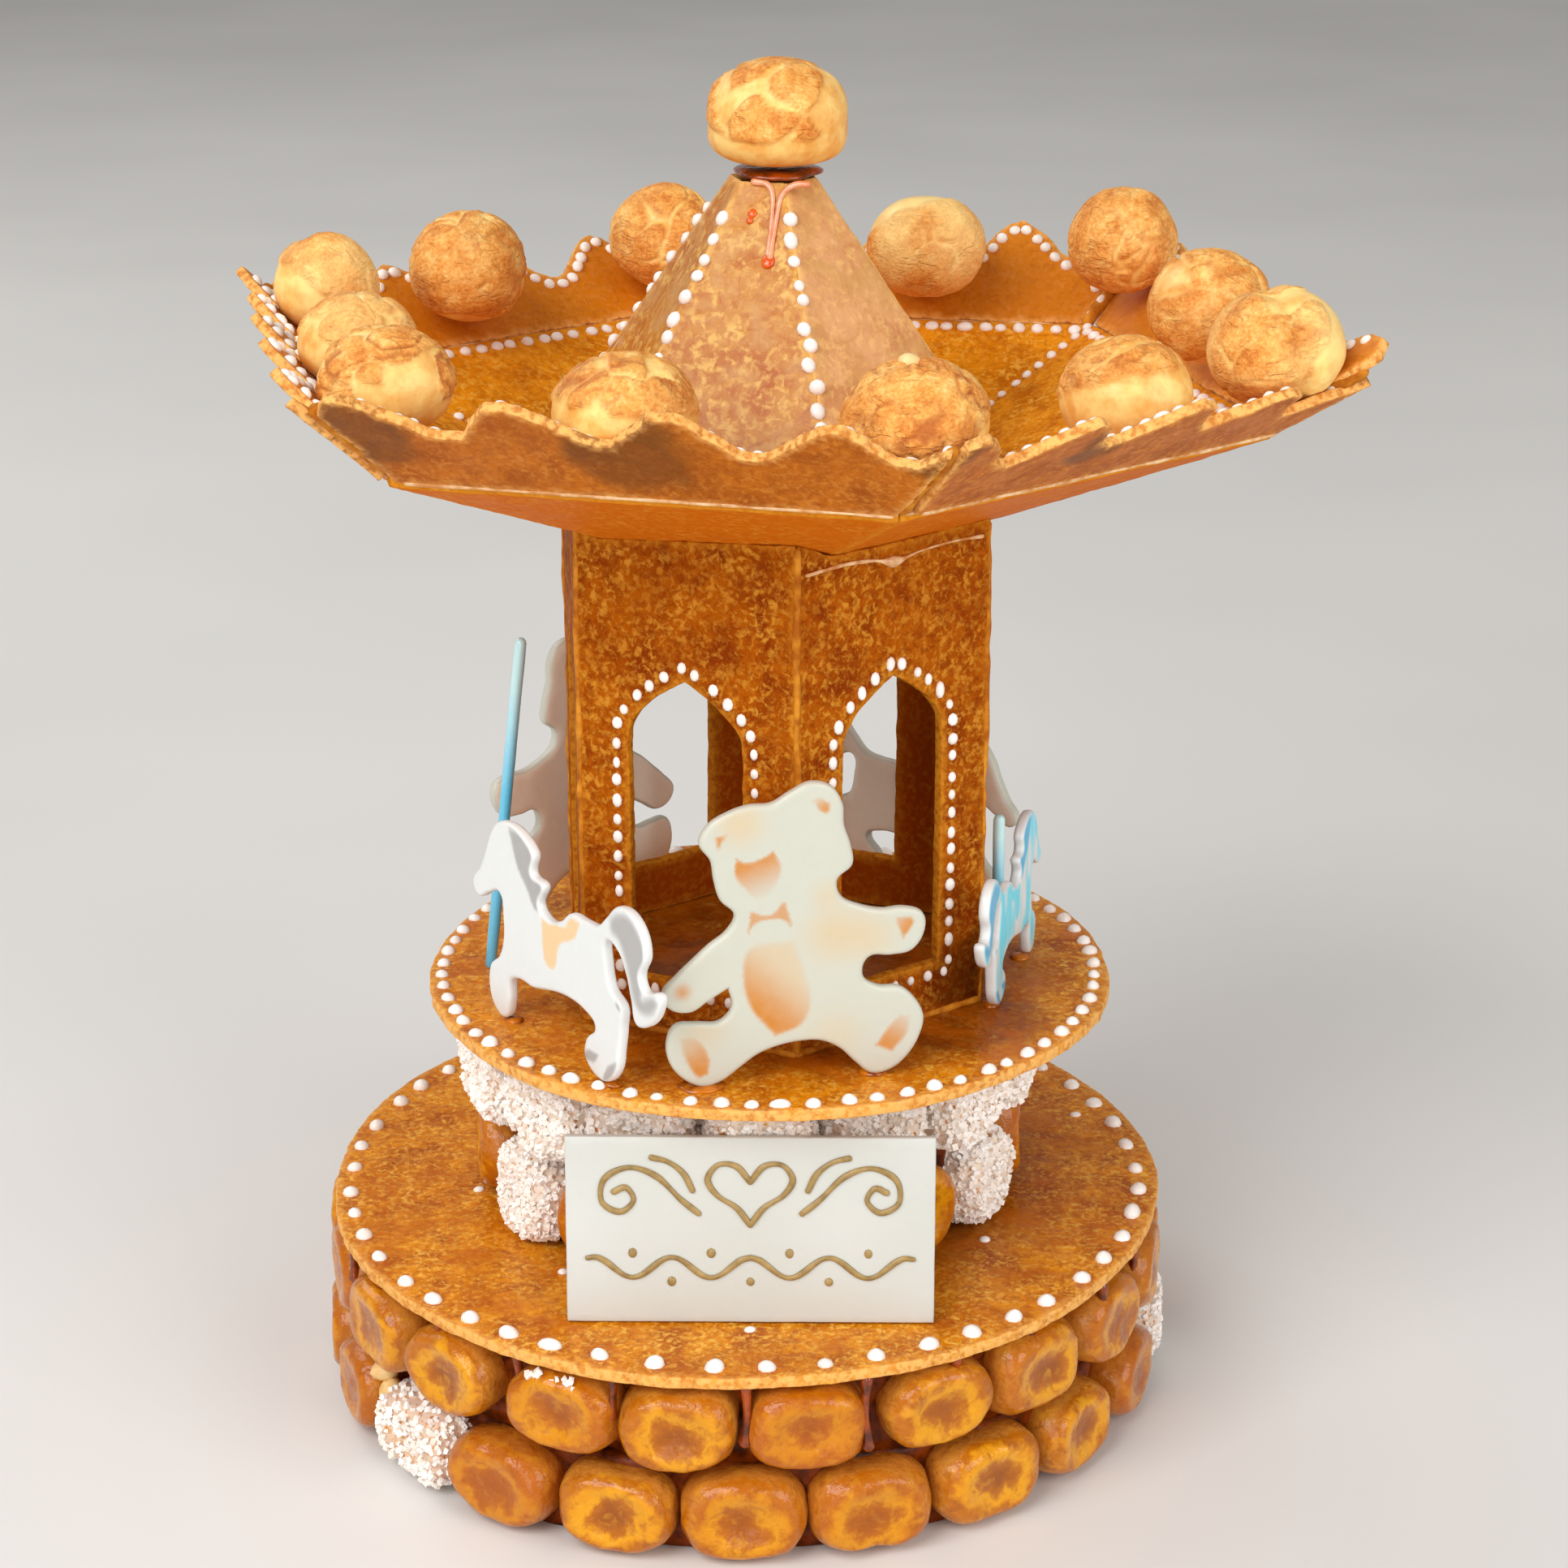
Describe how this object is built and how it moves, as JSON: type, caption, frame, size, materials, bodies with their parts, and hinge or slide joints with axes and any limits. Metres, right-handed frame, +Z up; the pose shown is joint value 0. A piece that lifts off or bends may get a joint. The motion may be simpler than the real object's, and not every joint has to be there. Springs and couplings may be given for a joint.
{
  "type": "croquembouche",
  "caption": "Tall celebration cake shaped as a merry-go-round: choux tiers, nougatine discs, a windowed hexagonal tower and a scalloped roof with choux, chocolate bears and horses.",
  "frame": {"origin": "middle of the whole footprint, at the height the base rests on", "axes": "+Z up, the front with the leaning plaque faces -Y, +X to the right seen from the front"},
  "size_m": [0.3848, 0.344, 0.4724],
  "materials": {
    "nougatine": "glossy mottled caramel with crushed almond",
    "pale_nougatine": "satin pale caramel with fine almond flecks",
    "crown_nougatine": "matt orange tan with toasted patches",
    "dipped_choux": "glossy amber caramel over baked pastry, some with pearl sugar",
    "craquelin_choux": "matt golden crackled crust with cream coloured cracks",
    "caramel": "clear glossy amber",
    "white_chocolate": "satin ivory with soft airbrushed colour",
    "blue_sugar": "glossy blue turning pearly aqua"
  },
  "bodies": {
    "root": {"base_row_lower": "dipped_choux", "base_row_upper": "dipped_choux", "large_disc": "nougatine", "upper_row_lower": "dipped_choux", "upper_row_upper": "dipped_choux", "small_disc": "nougatine", "plaque": "white_chocolate", "tower_wall_1": "nougatine", "tower_wall_2": "nougatine", "tower_wall_3": "nougatine", "tower_wall_4": "nougatine", "tower_wall_5": "nougatine", "tower_wall_6": "nougatine", "tray_floor_1": "nougatine", "crown_panel_1": "crown_nougatine", "pyramid_side_1": "pale_nougatine", "tray_floor_2": "nougatine", "crown_panel_2": "crown_nougatine", "pyramid_side_2": "pale_nougatine", "tray_floor_3": "nougatine", "crown_panel_3": "crown_nougatine", "pyramid_side_3": "pale_nougatine", "tray_floor_4": "nougatine", "crown_panel_4": "crown_nougatine", "pyramid_side_4": "pale_nougatine", "tray_floor_5": "nougatine", "crown_panel_5": "crown_nougatine", "pyramid_side_5": "pale_nougatine", "tray_floor_6": "nougatine", "crown_panel_6": "crown_nougatine", "pyramid_side_6": "pale_nougatine", "caramel_cap": "caramel", "chou_rim_front_left": "craquelin_choux", "chou_rim_front_right": "craquelin_choux", "chou_rim_right_front": "craquelin_choux", "chou_rim_right_corner": "craquelin_choux", "chou_rim_right_side": "craquelin_choux", "chou_rim_right_back": "craquelin_choux", "chou_rim_back_right": "craquelin_choux", "chou_rim_back_left": "craquelin_choux", "chou_rim_left_back": "craquelin_choux", "chou_rim_left_corner": "craquelin_choux", "chou_rim_left_side": "craquelin_choux", "chou_rim_left_front": "craquelin_choux", "chou_top": "craquelin_choux", "bear_front": "white_chocolate", "bear_back": "white_chocolate", "horse_left": "white_chocolate", "horse_right": "white_chocolate", "horse_back": "white_chocolate", "pole_left": "blue_sugar", "pole_right": "blue_sugar"}
  },
  "joints": []
}
